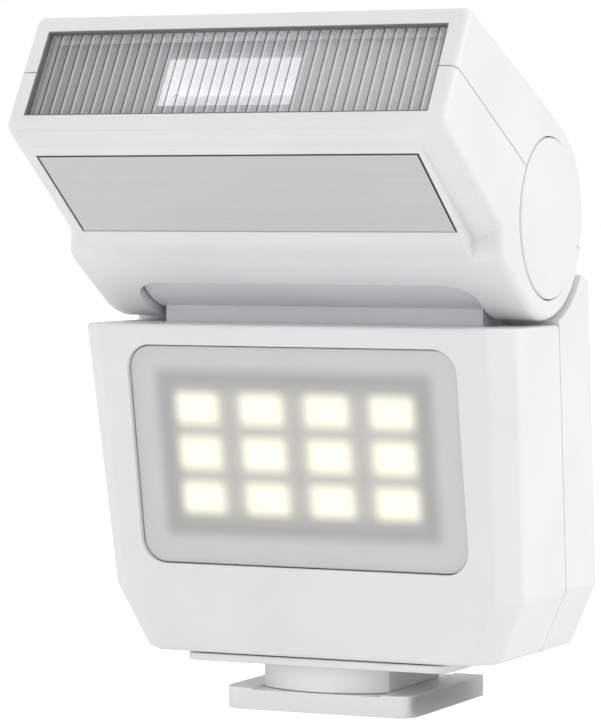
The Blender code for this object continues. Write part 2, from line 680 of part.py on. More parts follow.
def plate_outline(grow, thick):
    """Side view of the label plate, from its outer face inwards."""
    run = (PLATE_FRONT[0] - PLATE_REAR[0], PLATE_FRONT[1] - PLATE_REAR[1])
    long = math.hypot(*run)
    along = (run[0] / long, run[1] / long)
    inward = (-along[1], along[0])
    front = (PLATE_FRONT[0] + grow * along[0], PLATE_FRONT[1] + grow * along[1])
    rear = (PLATE_REAR[0] - grow * along[0], PLATE_REAR[1] - grow * along[1])
    outer = -0.6 if grow else 0.0
    corners = ((rear, outer), (front, outer), (front, thick), (rear, thick))
    return [(p[0] + inward[0] * t, p[1] + inward[1] * t) for p, t in corners]


def label_recess(pivot):
    half, side_view = PLATE_HALF + 0.1, plate_outline(0.1, PLATE_THICK + 0.1)
    return prism("cut_label_recess", side_view, -half, half, in_head, parent=pivot)


def make_head_front(pivot):
    side_view = plate_outline(0.0, PLATE_THICK)
    prism("label_plate", side_view, -PLATE_HALF, PLATE_HALF, in_head, "label_silver", pivot)
    make_lens(pivot)
    outer = rectangle(-18.9, 18.9, LENS_LOW - 0.2, LENS_HIGH + 0.3)
    left, right = REFLECTOR_X - REFLECTOR_HALF - 0.3, REFLECTOR_X + REFLECTOR_HALF + 0.3
    window = rectangle(left, right, REFLECTOR_V - 3.0, REFLECTOR_V + 3.0)
    frame = prism("reflector_frame", outer, -21.9, -21.1, lens_wise, "frame_grey", pivot)
    change(frame, prism("cut_frame_window", window, -23.0, -20.0, lens_wise, parent=pivot))
    make_reflector(pivot)
    for x in (-HEAD_SCREW_X, HEAD_SCREW_X):
        side = "left" if x < 0 else "right"
        head = [(1.3, -7.5), (1.3, -6.75), (0.65, -6.6), (0.65, -4.6)]
        screw = turned(f"head_screw_{side}", head, across_head, "screw_steel", pivot, 24)
        shift(screw, x, HEAD_SCREW_U)


def lens_opening(inset):
    return rectangle(inset - LENS_HALF, LENS_HALF - inset, LENS_LOW + inset, LENS_HIGH - inset)


def make_lens(pivot):
    """Window with upright ribs on its outer face."""
    half, front, back = LENS_HALF - 0.08, FACE_U - LENS_SINK, 22.3
    pitch = 2 * half / RIBS
    outline = [(-half, -back), (half, -back)]
    for i in range(RIBS):
        right = half - i * pitch
        outline += [(right - 0.12 * pitch, -front + 0.16), (right - 0.3 * pitch, -front)]
        outline += [(right - 0.7 * pitch, -front), (right - 0.88 * pitch, -front + 0.16)]
    prism("flash_lens", outline, LENS_LOW + 0.08, LENS_HIGH - 0.08, in_plan, "lens_clear", pivot)
    outside, ends = lens_opening(0.04), (0.1 - FACE_U, -front - 0.07)
    gasket = prism("lens_gasket", outside, *ends, lens_wise, "gasket_grey", pivot)
    change(gasket, prism("cut_gasket", lens_opening(0.17), -26.0, -22.0, lens_wise, parent=pivot))


def bowl(half, depth_u, mouth_u=20.95, steps=12):
    """Curved back of the reflector in side view, between the edges of its mouth."""
    points = []
    for i in range(steps + 1):
        t = 2 * i / steps - 1
        points.append((mouth_u - (mouth_u - depth_u) * (1 - t * t), REFLECTOR_V + half * t))
    return points


def crosswise(half):
    return (REFLECTOR_X - half, REFLECTOR_X + half)


def make_reflector(pivot):
    """Trough with closed ends, open towards the lens, and the flash tube that runs through it."""
    trough, ends = bowl(3.35, 15.2), crosswise(REFLECTOR_HALF + 0.4)
    body = prism("flash_reflector", trough, *ends, in_head, "reflector_metal", pivot)
    inner = bowl(3.0, 15.6) + [(21.95, REFLECTOR_V + 3.0), (21.95, REFLECTOR_V - 3.0)]
    change(body, prism("cut_reflector", inner, *crosswise(REFLECTOR_HALF), in_head, parent=pivot))
    axis = (17.5, REFLECTOR_V)
    change(body, prism("cut_tube_path", circle(1.4, axis, 24), *crosswise(9.0), in_head, parent=pivot))
    prism("flash_tube", circle(1.25, axis, 24), *crosswise(9.4), in_head, "tube_glass", pivot)
    for name, side in (("left", -1), ("right", 1)):
        ends = sorted((REFLECTOR_X + side * 9.5, REFLECTOR_X + side * 12.3))
        prism(f"tube_end_{name}", circle(1.5, axis, 24), *ends, in_head, "black_plastic", pivot)
    coil, board = rectangle(-17.9, -13.8, -3.4, 3.4), rectangle(-17.8, 17.8, -3.6, 4.0)
    prism("trigger_coil", coil, -19.6, -12.8, lens_wise, "black_plastic", pivot)
    prism("head_board", board, -11.6, -10.8, lens_wise, "board_green", pivot)


def make_head():
    pivot = bpy.data.objects.new("head_pivot", None)
    bpy.context.scene.collection.objects.link(pivot)
    pivot.location = (0.0, AXIS_Y * MM, AXIS_Z * MM)
    pivot.rotation_euler = (-TILT, 0.0, 0.0)
    make_head_shells(pivot)
    make_head_front(pivot)
    make_hinge_ends(pivot)


def main():
    clear_scene()
    make_foot()
    make_base()
    make_front_shell()
    make_rear_shell()
    make_led_panel()
    make_inside()
    make_knuckle()
    make_head()


main()
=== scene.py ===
"""Looks for the pocket flash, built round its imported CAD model.

Lengths are millimetres until a piece is finished, when they become metres. X runs to the right, the flash
fires towards -Y, +Z is up, and the origin is on the underside of the foot.
"""

import json
import math

import bmesh
import bpy
from mathutils import Matrix, Vector

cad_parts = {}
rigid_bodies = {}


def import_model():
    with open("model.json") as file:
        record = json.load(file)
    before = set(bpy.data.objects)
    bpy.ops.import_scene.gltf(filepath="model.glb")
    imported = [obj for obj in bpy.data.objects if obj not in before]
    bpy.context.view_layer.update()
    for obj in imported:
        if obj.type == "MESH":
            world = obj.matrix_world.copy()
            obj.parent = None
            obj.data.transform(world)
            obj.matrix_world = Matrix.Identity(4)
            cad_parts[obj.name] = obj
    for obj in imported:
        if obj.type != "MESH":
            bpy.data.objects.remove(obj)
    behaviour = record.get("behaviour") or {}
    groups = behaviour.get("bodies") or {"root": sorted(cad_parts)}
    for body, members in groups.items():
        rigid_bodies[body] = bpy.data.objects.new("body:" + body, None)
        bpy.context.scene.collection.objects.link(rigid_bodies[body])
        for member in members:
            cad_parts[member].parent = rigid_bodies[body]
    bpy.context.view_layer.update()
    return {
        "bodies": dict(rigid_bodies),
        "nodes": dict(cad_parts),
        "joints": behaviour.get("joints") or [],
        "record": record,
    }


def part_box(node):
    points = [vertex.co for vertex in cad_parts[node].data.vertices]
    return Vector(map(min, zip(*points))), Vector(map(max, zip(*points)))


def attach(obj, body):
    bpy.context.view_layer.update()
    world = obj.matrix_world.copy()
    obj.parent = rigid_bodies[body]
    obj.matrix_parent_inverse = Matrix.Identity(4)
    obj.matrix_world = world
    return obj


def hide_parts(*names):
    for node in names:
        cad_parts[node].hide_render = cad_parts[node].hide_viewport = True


MM = 0.001
PLAIN = Matrix.Identity(4)

# Hot-shoe foot and base
FOOT_THICK = 2.0
STEM_HALF = 6.2
BASE_SCREWS = ((-11.0, -6.4), (11.0, -6.4), (-11.0, 7.4), (11.0, 7.4))
FOOT_SCREW_X = 4.7

# Body, leaning forward
RAKE = 0.179
FRONT_AT_ZERO = -9.07
BODY_DEPTH = 22.5
BODY_BOTTOM, BODY_KINK, BODY_TOP, REAR_TOP = 5.14, 11.0, 35.1, 40.0
HALF_BOTTOM, HALF_KINK, HALF_TOP = 17.27, 20.12, 20.96
FRONT_INSET, FRONT_CHAMFER, REAR_CHAMFER = 2.1, 2.3, 1.9
PARTING = 12.7
WALL = 1.3
SEAM = 0.12

# LED panel
WINDOW_HALF, WINDOW_LOW, WINDOW_HIGH, WINDOW_CORNER = 15.95, 13.3, 33.25, 2.2
WINDOW_SINK = 0.45
LED_PITCH_X, LED_PITCH_Z, LED_MIDDLE = 6.33, 4.1, 23.5

# Rear controls
BUTTON_X, BUTTON_Z, BUTTON_RADIUS = 8.5, 20.0, 2.4
KNOB_HALF, KNOB_LOW, KNOB_HIGH = 2.1, 28.2, 30.8
GROOVES, GROOVE_PITCH, GROOVE_HALF = 5, 0.72, 0.16
PORT_HALF, PORT_LOW, PORT_HIGH, PORT_WALL = 4.47, 9.2, 12.4, 0.3

# Hinge and head
AXIS_Y, AXIS_Z = -5.265, 44.567
TILT = math.radians(32.0)
BARREL, CRADLE, BARREL_BORE = 9.0, 9.45, 8.5
KNUCKLE, KNUCKLE_HALF, SLOT_HALF = 8.25, 16.2, 16.5
POST_HALF, POST_FRONT, POST_REAR = 15.6, -7.5, -3.0
CAP_RADIUS, CAP_POCKET, CAP_POCKET_FLOOR = 7.12, 7.25, 18.6
PIN_BORE = 2.58
FACE_U, FACE_TOP, FACE_BOTTOM = 24.35, 5.9, -5.97
HEAD_HALF, HEAD_FACE_HALF = 20.95, 20.55
STEP_U, STEP_V = 9.0, -6.86
SIDE_ROUND, CORNER_ROUND = 0.8, 1.0
PAD_HALF = 18.25
LENS_HALF, LENS_LOW, LENS_HIGH, LENS_SINK = 18.93, -4.68, 4.12, 0.55
LENS_GAP = 0.08
RIBS = 38
SLOT_FRONT_U, SLOT_REAR_V = 3.4, 3.1
SEAM_FRONT_V, SEAM_SLOPE = -0.2, 0.06
PLATE_FRONT, PLATE_REAR, PLATE_HALF, PLATE_THICK = (22.05, -7.44), (11.38, -8.39), 17.87, 0.3
REFLECTOR_X, REFLECTOR_V, REFLECTOR_HALF = -1.2, 0.2, 7.0

HEAD = Matrix.Translation((0.0, AXIS_Y * MM, AXIS_Z * MM)) @ Matrix.Rotation(-TILT, 4, "X")

# Camera, as in the photograph
CAMERA_AT = (133.7, -305.7, 45.8)
CAMERA_YAW, CAMERA_PITCH = math.radians(24.48), math.radians(-2.45)
CAMERA_LENS = 181.8

# Strengths of the light and of the faint glows that stand in for light seen in the photograph
STUDIO_LIGHT = 0.78
TROUGH_GLOW, CHIP_GLOW, HALO_GLOW = 0.22, 0.41, 0.19
FLOOR_GLOW, FLOOR_SEEN = 0.31, 0.95


# ---------------------------------------------------------------- outlines and frames


def arc(radius, start, end, steps, centre=(0.0, 0.0)):
    angles = [math.radians(start + (end - start) * i / steps) for i in range(steps + 1)]
    return [(centre[0] + radius * math.cos(a), centre[1] + radius * math.sin(a)) for a in angles]


def circle(radius, centre=(0.0, 0.0), facets=128):
    return arc(radius, 0, 360 * (1 - 1 / facets), facets - 1, centre)


def rectangle(a0, a1, b0, b1):
    return [(a0, b0), (a1, b0), (a1, b1), (a0, b1)]


def rounded(a0, a1, b0, b1, radius, steps=10):
    corners = ((a1, b1, 0), (a0, b1, 90), (a0, b0, 180), (a1, b0, 270))
    outline = []
    for a, b, start in corners:
        centre = (a - math.copysign(radius, a - (a0 + a1) / 2), b - math.copysign(radius, b - (b0 + b1) / 2))
        outline += arc(radius, start, start + 90, steps, centre)
    return outline


def raked(x, z, depth):
    """A point of the body: depth is measured back from its leaning front face."""
    return (x, FRONT_AT_ZERO - RAKE * z + depth, z)


def in_head(u, v, x):
    return (x, -u, v)


def in_plan(x, y, z):
    return (x, y, z)


def along_x(y, z, x):
    return (x, y, z)


# ---------------------------------------------------------------- solids


def skin(loops):
    """Working solid through rings of equal length, capped at both ends."""
    mesh = bmesh.new()
    rings = [[mesh.verts.new([MM * c for c in point]) for point in loop] for loop in loops]
    count = len(rings[0])
    for low, high in zip(rings, rings[1:]):
        for i in range(count):
            j = (i + 1) % count
            mesh.faces.new((low[i], low[j], high[j], high[i]))
    mesh.faces.new(list(reversed(rings[0])))
    mesh.faces.new(rings[-1])
    bmesh.ops.recalc_face_normals(mesh, faces=mesh.faces)
    data = bpy.data.meshes.new("work")
    mesh.to_mesh(data)
    mesh.free()
    made = bpy.data.objects.new("work", data)
    bpy.context.scene.collection.objects.link(made)
    return made


def prism(outline, low, high, place):
    return skin([[place(a, b, t) for a, b in outline] for t in (low, high)])


def turned(profile, place, facets=48, centre=(0.0, 0.0)):
    return skin([[place(a, b, t) for a, b in circle(r, centre, facets)] for r, t in profile])


def settle(made):
    """Bakes the modifiers in."""
    graph = bpy.context.evaluated_depsgraph_get()
    baked = bpy.data.meshes.new_from_object(made.evaluated_get(graph))
    made.modifiers.clear()
    made.data = baked
    return made


def combine(made, others, how):
    for other in others:
        step = made.modifiers.new(how, "BOOLEAN")
        step.operation = how
        step.solver = "EXACT"
        step.object = other
    settle(made)
    for other in others:
        bpy.data.objects.remove(other, do_unlink=True)
    return made


def cut(made, *others):
    return combine(made, others, "DIFFERENCE")


def join(made, *others):
    return combine(made, others, "UNION")


def soften(made, width, angle=28, segments=3):
    """Rounds every edge sharper than the angle, after clearing what Booleans leave behind."""
    weld = made.modifiers.new("weld", "WELD")
    weld.merge_threshold = 0.004 * MM
    tidy = made.modifiers.new("flat faces", "DECIMATE")
    tidy.decimate_type = "DISSOLVE"
    tidy.angle_limit = math.radians(0.6)
    step = made.modifiers.new("bevel", "BEVEL")
    step.width = width * MM
    step.segments = segments
    step.limit_method = "ANGLE"
    step.angle_limit = math.radians(angle)
    step.miter_outer = "MITER_ARC"
    step.use_clamp_overlap = True
    return settle(made)


def piece(made, name, body, finish, stands_for=(), place=PLAIN, sharp=35):
    """Names the finished solid, sets it on its CAD body and gives it its material."""
    made.name = name
    made.data.name = name
    made.data.transform(place)
    made.data.materials.clear()
    made.data.materials.append(finish)
    made.data.shade_smooth()
    made.data.set_sharp_from_angle(angle=math.radians(sharp))
    even = made.modifiers.new("even normals", "WEIGHTED_NORMAL")
    even.keep_sharp = True
    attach(made, body)
    if stands_for:
        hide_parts(*stands_for)
    return made


# ---------------------------------------------------------------- materials


def linear(*shades):
    """Display shades from 0 to 255 as linear colour values."""
    return tuple(((s / 255 + 0.055) / 1.055) ** 2.4 if s > 10 else s / 3295 for s in shades)


class Finish:
    """One procedural material, with short ways to add nodes. Patterns are laid out in metres on the object."""

    def __init__(self, name, shade, roughness, metallic=0.0):
        self.material = bpy.data.materials.new(name)
        self.material.use_nodes = True
        self.tree = self.material.node_tree
        self.shader = self.tree.nodes["Principled BSDF"]
        self.shader.inputs["Base Color"].default_value = (*linear(*shade), 1.0)
        self.shader.inputs["Roughness"].default_value = roughness
        self.shader.inputs["Metallic"].default_value = metallic
        self.shade = shade
        self.roughness = roughness
        self.where = self.tree.nodes.new("ShaderNodeTexCoord").outputs["Object"]

    def feed(self, socket, value):
        if hasattr(value, "is_linked"):
            self.tree.links.new(value, socket)
        else:
            socket.default_value = value

    def math(self, operation, *values):
        node = self.tree.nodes.new("ShaderNodeMath")
        node.operation = operation
        for socket, value in zip(node.inputs, values):
            self.feed(socket, value)
        return node.outputs[0]

    def span(self, value, low, high, to_low=0.0, to_high=1.0, smooth=False):
        node = self.tree.nodes.new("ShaderNodeMapRange")
        node.interpolation_type = "SMOOTHSTEP" if smooth else "LINEAR"
        ends = {"From Min": low, "From Max": high, "To Min": to_low, "To Max": to_high}
        for name, number in ends.items():
            node.inputs[name].default_value = number
        self.feed(node.inputs["Value"], value)
        return node.outputs[0]

    def stretched(self, scale):
        node = self.tree.nodes.new("ShaderNodeMapping")
        node.inputs["Scale"].default_value = scale
        self.tree.links.new(self.where, node.inputs["Vector"])
        return node.outputs[0]

    def noise(self, scale, detail=2.0, where=None):
        node = self.tree.nodes.new("ShaderNodeTexNoise")
        node.inputs["Scale"].default_value = scale
        node.inputs["Detail"].default_value = detail
        self.tree.links.new(where or self.where, node.inputs["Vector"])
        return node.outputs["Fac"]

    def blend(self, share, first, second):
        node = self.tree.nodes.new("ShaderNodeMix")
        node.data_type = "RGBA"
        self.feed(node.inputs[0], share)
        self.feed(node.inputs[6], first)
        self.feed(node.inputs[7], second)
        return node.outputs[2]

    def axes(self):
        node = self.tree.nodes.new("ShaderNodeSeparateXYZ")
        self.tree.links.new(self.where, node.inputs[0])
        return node.outputs

    def mottle(self, scale, spread, swing, where=None):
        """Slight unevenness of shade and gloss. spread is in display shades, swing in roughness."""
        share = self.noise(scale, 3.0, where)
        low = (*linear(*(s - spread for s in self.shade)), 1.0)
        high = (*linear(*(min(255, s + spread) for s in self.shade)), 1.0)
        wide = self.span(share, 0.35, 0.65)
        self.feed(self.shader.inputs["Base Color"], self.blend(wide, low, high))
        gloss = self.span(share, 0.3, 0.7, self.roughness - swing, self.roughness + swing)
        self.feed(self.shader.inputs["Roughness"], gloss)
        return self

    def relief(self, height, strength, depth):
        node = self.tree.nodes.new("ShaderNodeBump")
        node.inputs["Strength"].default_value = strength
        node.inputs["Distance"].default_value = depth * MM
        self.feed(node.inputs["Height"], height)
        self.tree.links.new(node.outputs[0], self.shader.inputs["Normal"])
        return self

    def grain(self, scale, strength=0.25, depth=0.01, where=None):
        """Fine moulded or drawn texture."""
        return self.relief(self.noise(scale, 4.0, where), strength, depth)


def moulded(name, shade, roughness, spread=2, grain=5200):
    return Finish(name, shade, roughness).mottle(90, spread, 0.05).grain(grain)


def brushed(name, shade, roughness, metallic, stretch, spread=5, strength=0.3):
    finish = Finish(name, shade, roughness, metallic)
    streaks = finish.stretched(stretch)
    return finish.mottle(1.0, spread, 0.06, streaks).grain(1.6, strength, 0.008, streaks)


def soft_boxes(finish, x, z, half_x, half_z, edge):
    """One inside the boxes repeated at the LED pitch, falling to zero across the edge."""
    near_x = finish.math("PINGPONG", finish.math("ADD", x, 8 * LED_PITCH_X * MM), LED_PITCH_X / 2 * MM)
    from_middle = finish.math("SUBTRACT", z, (LED_MIDDLE - 6.5 * LED_PITCH_Z) * MM)
    near_z = finish.math("PINGPONG", from_middle, LED_PITCH_Z / 2 * MM)
    near_z = finish.math("SUBTRACT", LED_PITCH_Z / 2 * MM, near_z)
    start = LED_PITCH_X / 2 - half_x
    side = finish.span(near_x, (start - edge) * MM, (start + edge) * MM, smooth=True)
    rise = finish.span(near_z, (half_z - edge) * MM, (half_z + edge) * MM, 1.0, 0.0, True)
    return finish.math("MULTIPLY", side, rise)


def within(finish, value, middle, half, edge):
    """One where the value is within half of the middle, softly."""
    off = finish.math("ABSOLUTE", finish.math("SUBTRACT", value, middle * MM))
    return finish.span(off, (half - edge) * MM, (half + edge) * MM, 1.0, 0.0, True)


def panel(finish, half_x, half_z, edge):
    """One inside a soft-edged rectangle of the LED window."""
    x, _, z = finish.axes()
    tall = within(finish, z, LED_MIDDLE, half_z, edge)
    return finish.math("MULTIPLY", within(finish, x, 0.0, half_x, edge), tall)


def opal_finish():
    """Frosted window. Painted on its own surface: the shadow of the LED frame behind it as a darker band, the
    lit LEDs as blurred glow, and their spilled light as a lighter, warmer middle and a faint halo.
    """
    finish = Finish("opal_lit", (206, 206, 205), 0.32)
    x, _, z = finish.axes()
    # Painted shadow of the LED frame behind the window: darker inside the frame's opening.
    inside = panel(finish, 13.35, 7.5, 0.8)
    # Painted LED light: a lighter, warmer middle where the chips light the window.
    led_lit_middle = panel(finish, 11.6, 5.9, 1.2)
    array = panel(finish, 2 * LED_PITCH_X, 1.5 * LED_PITCH_Z, 0.05)
    chips = finish.math("MULTIPLY", array, soft_boxes(finish, x, z, 2.05, 1.4, 0.72))
    halo = finish.math("MULTIPLY", panel(finish, 11.6, 5.5, 1.0), soft_boxes(finish, x, z, 2.5, 1.95, 1.5))
    cloud = finish.noise(300, 2.0)
    rim = finish.blend(cloud, (*linear(209, 209, 209), 1.0), (*linear(215, 215, 214), 1.0))
    frame_shadow_and_led_light = finish.blend(inside, rim, (*linear(180, 180, 177), 1.0))
    frame_shadow_and_led_light = finish.blend(led_lit_middle, frame_shadow_and_led_light, (*linear(196, 195, 190), 1.0))
    finish.feed(finish.shader.inputs["Base Color"], frame_shadow_and_led_light)
    finish.shader.inputs["Emission Color"].default_value = (1.0, 0.98, 0.76, 1.0)
    lit, spilled = finish.math("MULTIPLY", chips, CHIP_GLOW), finish.math("MULTIPLY", halo, HALO_GLOW)
    glow = finish.math("ADD", lit, spilled)
    finish.feed(finish.shader.inputs["Emission Strength"], glow)
    return finish.grain(4000, 0.2, 0.008)


def along_head(finish):
    """Distance from the hinge axis towards the lens."""
    _, y, z = finish.axes()
    forward = finish.math("MULTIPLY", finish.math("SUBTRACT", AXIS_Y * MM, y), math.cos(TILT))
    upward = finish.math("MULTIPLY", finish.math("SUBTRACT", z, AXIS_Z * MM), math.sin(TILT))
    return finish.math("ADD", forward, upward)


def lens_finish():
    """Clear ribbed plastic, with painted shade and highlight on each rib's outer face: a dark line in the
    groove between ribs and a lighter band along the rib.
    """
    finish = Finish("lens_ribbed", (225, 226, 227), 0.12)
    x, _, _ = finish.axes()
    pitch = 2 * (LENS_HALF - LENS_GAP) / RIBS
    from_left = finish.math("ADD", x, (LENS_HALF - LENS_GAP) * MM)
    phase = finish.math("FRACT", finish.math("DIVIDE", from_left, pitch * MM))
    # Painted shade: a dark line along each groove between ribs.
    edge = finish.math("ABSOLUTE", finish.math("SUBTRACT", phase, 0.5))
    line = finish.span(edge, 0.38, 0.46, 0.0, 1.0, True)
    # Painted highlight: a lighter band along each rib.
    bright = finish.math("ABSOLUTE", finish.math("SUBTRACT", phase, 0.24))
    rib_highlight = finish.span(bright, 0.06, 0.2, 1.0, 0.0, True)
    body = finish.blend(rib_highlight, (*linear(206, 207, 208), 1.0), (*linear(246, 247, 248), 1.0))
    body = finish.blend(line, body, (*linear(92, 93, 95), 1.0))
    finish.feed(finish.shader.inputs["Base Color"], body)
    clear = finish.span(rib_highlight, 0.0, 1.0, 0.3, 0.45)
    cover = finish.math("MAXIMUM", clear, finish.math("MULTIPLY", line, 0.76))
    outer = finish.span(along_head(finish), 22.8 * MM, 23.3 * MM, 0.05, 1.0)
    finish.feed(finish.shader.inputs["Alpha"], finish.math("MULTIPLY", cover, outer))
    return finish.grain(2500, 0.15, 0.006)


def label_finish():
    """Brushed sheet, with painted shade: a thin dark line along its front edge and both sides, where the
    groove round it falls in shadow.
    """
    finish = brushed("silver_label", (212, 212, 213), 0.42, 0.3, (60, 2600, 2600), 2, 0.2)
    x, _, _ = finish.axes()
    # Painted shade along both sides and the front edge of the sheet.
    off = finish.math("ABSOLUTE", x)
    sides = finish.span(off, (PLATE_HALF - 0.15) * MM, (PLATE_HALF - 0.1) * MM)
    front = finish.span(along_head(finish), (PLATE_FRONT[0] - 0.15) * MM, (PLATE_FRONT[0] - 0.1) * MM)
    sheet = finish.shader.inputs["Base Color"].links[0].from_socket
    edge_shaded = finish.blend(finish.math("MAXIMUM", sides, front), sheet, (*linear(70, 70, 71), 1.0))
    finish.feed(finish.shader.inputs["Base Color"], edge_shaded)
    return finish


def reflector_finish():
    """Bright trough. A faint glow stands in for the light it would gather through the lens."""
    finish = brushed("bright_reflector", (251, 251, 252), 0.35, 0.5, (80, 1500, 1500), 2, 0.15)
    finish.shader.inputs["Emission Color"].default_value = (1.0, 1.0, 1.0, 1.0)
    finish.shader.inputs["Emission Strength"].default_value = TROUGH_GLOW
    return finish


def frame_finish():
    """Grey surround of the reflector. The deeper shade to the left is painted, to match the photograph."""
    finish = moulded("grey_frame", (228, 229, 230), 0.5)
    x, _, _ = finish.axes()
    plain = finish.shader.inputs["Base Color"].links[0].from_socket
    share = finish.span(x, -19 * MM, 12 * MM, 0.85, 0.0, True)
    finish.feed(finish.shader.inputs["Base Color"], finish.blend(share, plain, (*linear(160, 161, 162), 1.0)))
    return finish


def tube_finish():
    """Flash tube, as opaque pale glass with the same faint glow as the trough."""
    finish = moulded("tube_glass", (246, 248, 250), 0.08, 1, 900)
    finish.shader.inputs["Emission Color"].default_value = (1.0, 1.0, 1.0, 1.0)
    finish.shader.inputs["Emission Strength"].default_value = TROUGH_GLOW
    return finish


def floor_finish():
    """Pale lit sheet, which the camera sees as white."""
    finish = moulded("studio_floor", (210, 210, 210), 0.7, 1, 400)
    finish.shader.inputs["Emission Color"].default_value = (1.0, 1.0, 1.0, 1.0)
    seen = finish.tree.nodes.new("ShaderNodeLightPath").outputs["Is Camera Ray"]
    finish.feed(finish.shader.inputs["Emission Strength"], finish.span(seen, 0.0, 1.0, FLOOR_GLOW, FLOOR_SEEN))
    return finish


def make_finishes():
    white = moulded("white_shell", (236, 236, 237), 0.36)
    made = {
        "shell_white": white,
        "hinge_grey": moulded("grey_hinge", (238, 240, 242), 0.42),
        "label_silver": label_finish(),
        "lens_clear": lens_finish(),
        "opal": opal_finish(),
        "foot_metal": brushed("satin_foot", (238, 238, 239), 0.42, 0.6, (5200, 120, 5200), 2, 0.12),
        "contact_gold": brushed("gold_contact", (224, 190, 122), 0.25, 1.0, (900, 900, 900)),
        "screw_steel": brushed("steel_screw", (170, 170, 173), 0.33, 1.0, (1500, 1500, 300)),
        "reflector_metal": reflector_finish(),
        "tube_glass": tube_finish(),
        "frame_grey": frame_finish(),
        # Lens-opening lining: its dark grey is painted shade, standing for the shaded walls of the opening.
        "gasket_grey": moulded("gasket_grey_as_shade", (112, 113, 115), 0.55, 3),
        "black_plastic": moulded("black_parts", (44, 44, 46), 0.5, 4),
        "board_green": moulded("green_board", (38, 92, 58), 0.45, 8, 1500),
        "led_yellow": moulded("led_phosphor", (238, 226, 160), 0.4, 4),
        "battery_foil": brushed("battery_foil", (200, 202, 205), 0.34, 0.7, (400, 400, 900)),
        "sleeve_dark": moulded("capacitor_sleeve", (44, 48, 62), 0.38, 4),
        "washer_nylon": moulded("nylon_washer", (230, 228, 220), 0.5),
        "floor": floor_finish(),
    }
    made["lens_clear"].material.blend_method = "HASHED"
    return {name: finish.material for name, finish in made.items()}


# ---------------------------------------------------------------- head


def tangent_point():
    """Where the flat top of the head meets its barrel."""
    reach = math.hypot(FACE_U, FACE_TOP)
    angle = math.atan2(FACE_TOP, FACE_U) + math.acos(BARREL / reach)
    return math.degrees(angle), (BARREL * math.cos(angle), BARREL * math.sin(angle))


def corner(before, here, after):
    """Inward normals of the two edges that meet here, and the shift that insets both by one."""
    normals = []
    for start, end in ((before, here), (here, after)):
        run = (end[0] - start[0], end[1] - start[1])
        long = math.hypot(*run)
        normals.append((-run[1] / long, run[0] / long))
    first, second = normals
    share = 1 + first[0] * second[0] + first[1] * second[1]
    return first, second, ((first[0] + second[0]) / share, (first[1] + second[1]) / share)


def inset(outline, distance):
    moved = []
    for i, here in enumerate(outline):
        shift = corner(outline[i - 1], here, outline[(i + 1) % len(outline)])[2]
        moved.append((here[0] + distance * shift[0], here[1] + distance * shift[1]))
    return moved


def round_corner(before, here, after, radius, steps):
    first, second, shift = corner(before, here, after)
    start = math.degrees(math.atan2(-first[1], -first[0]))
    turn = (math.degrees(math.atan2(-second[1], -second[0])) - start) % 360
    return arc(radius, start, start + turn, steps, (here[0] + radius * shift[0], here[1] + radius * shift[1]))


def head_outline():
    """Side view: barrel, the step up to the underside of the box, face and flat top."""
    angle, meet = tangent_point()
    back = arc(BARREL, angle, 270, 88)
    under, heel, toe = (7.2, -BARREL), (8.05, -8.6), (STEP_U, STEP_V)
    low, high = (FACE_U, FACE_BOTTOM), (FACE_U, FACE_TOP)
    step = round_corner(back[-1], under, heel, 1.2, 4) + round_corner(under, heel, toe, 1.2, 5) + [toe]
    face = round_corner(toe, low, high, CORNER_ROUND, 10) + round_corner(low, high, meet, CORNER_ROUND, 10)
    return back + step + face


def draft(block):
    """Narrows the head from the step to the lens. The sides are split at the step, so each piece is flat."""
    mesh = bmesh.new()
    mesh.from_mesh(block.data)
    everything = mesh.verts[:] + mesh.edges[:] + mesh.faces[:]
    step = [MM * c for c in in_head(STEP_U, 0.0, 0.0)]
    bmesh.ops.bisect_plane(mesh, geom=everything, plane_co=step, plane_no=(0.0, 1.0, 0.0))
    for point in mesh.verts:
        share = max(0.0, (-point.co.y / MM - STEP_U) / (FACE_U - STEP_U))
        point.co.x *= 1 - share * (1 - HEAD_FACE_HALF / HEAD_HALF)
    mesh.to_mesh(block.data)
    mesh.free()
    return block


def head_block():
    """Rings of the outline from side to side, drawn in towards each side to round its edge."""
    rings, steps = [], 7
    outline = head_outline()
    for side in (-1, 1):
        for i in range(steps + 1):
            angle = math.radians(90 * (i if side < 0 else steps - i) / steps)
            drawn = inset(outline, SIDE_ROUND * (1 - math.sin(angle)) + 0.001)
            x = HEAD_HALF - SIDE_ROUND * (1 - math.cos(angle))
            rings.append([in_head(u, v, side * x) for u, v in drawn])
    return draft(skin(rings))


def chin():
    """The chamfered underside between the face, the sides and the step."""
    rings = []
    for front, rear in (((24.0, -5.85, 20.2), (8.8, -6.72, 20.6)), ((22.9, -6.85, 18.5), (8.2, -7.4, 19.42))):
        corners = [(front, -1), (front, 1), (rear, 1), (rear, -1)]
        rings.append([in_head(u, v, side * x) for (u, v, x), side in corners])
    return soften(skin(rings), 0.4, 10, 4)


def label_pad():
    front = [(6.0, -5.0), (22.75, -5.0), (22.75, -6.8), (22.35, -7.42)]
    rear = [(11.3, -8.42), (10.3, -8.86), (9.4, -8.97), (6.0, -8.97)]
    return soften(prism(front + rear, -PAD_HALF, PAD_HALF, in_head), 0.28, 6, 3)


def half_space(above):
    """Everything on the far side of the seam from one shell, and half of the gap."""
    far = 40.0
    gap, edge = (SEAM / 2, -far) if above else (-SEAM / 2, far)
    behind = SEAM_FRONT_V + SEAM_SLOPE * (FACE_U + far) + gap
    ahead = SEAM_FRONT_V + SEAM_SLOPE * (FACE_U - far) + gap
    return prism([(-far, behind), (far, ahead), (far, edge), (-far, edge)], -30.0, 30.0, in_head)


def slot_wise(x, u, v):
    return (x, -u, v)


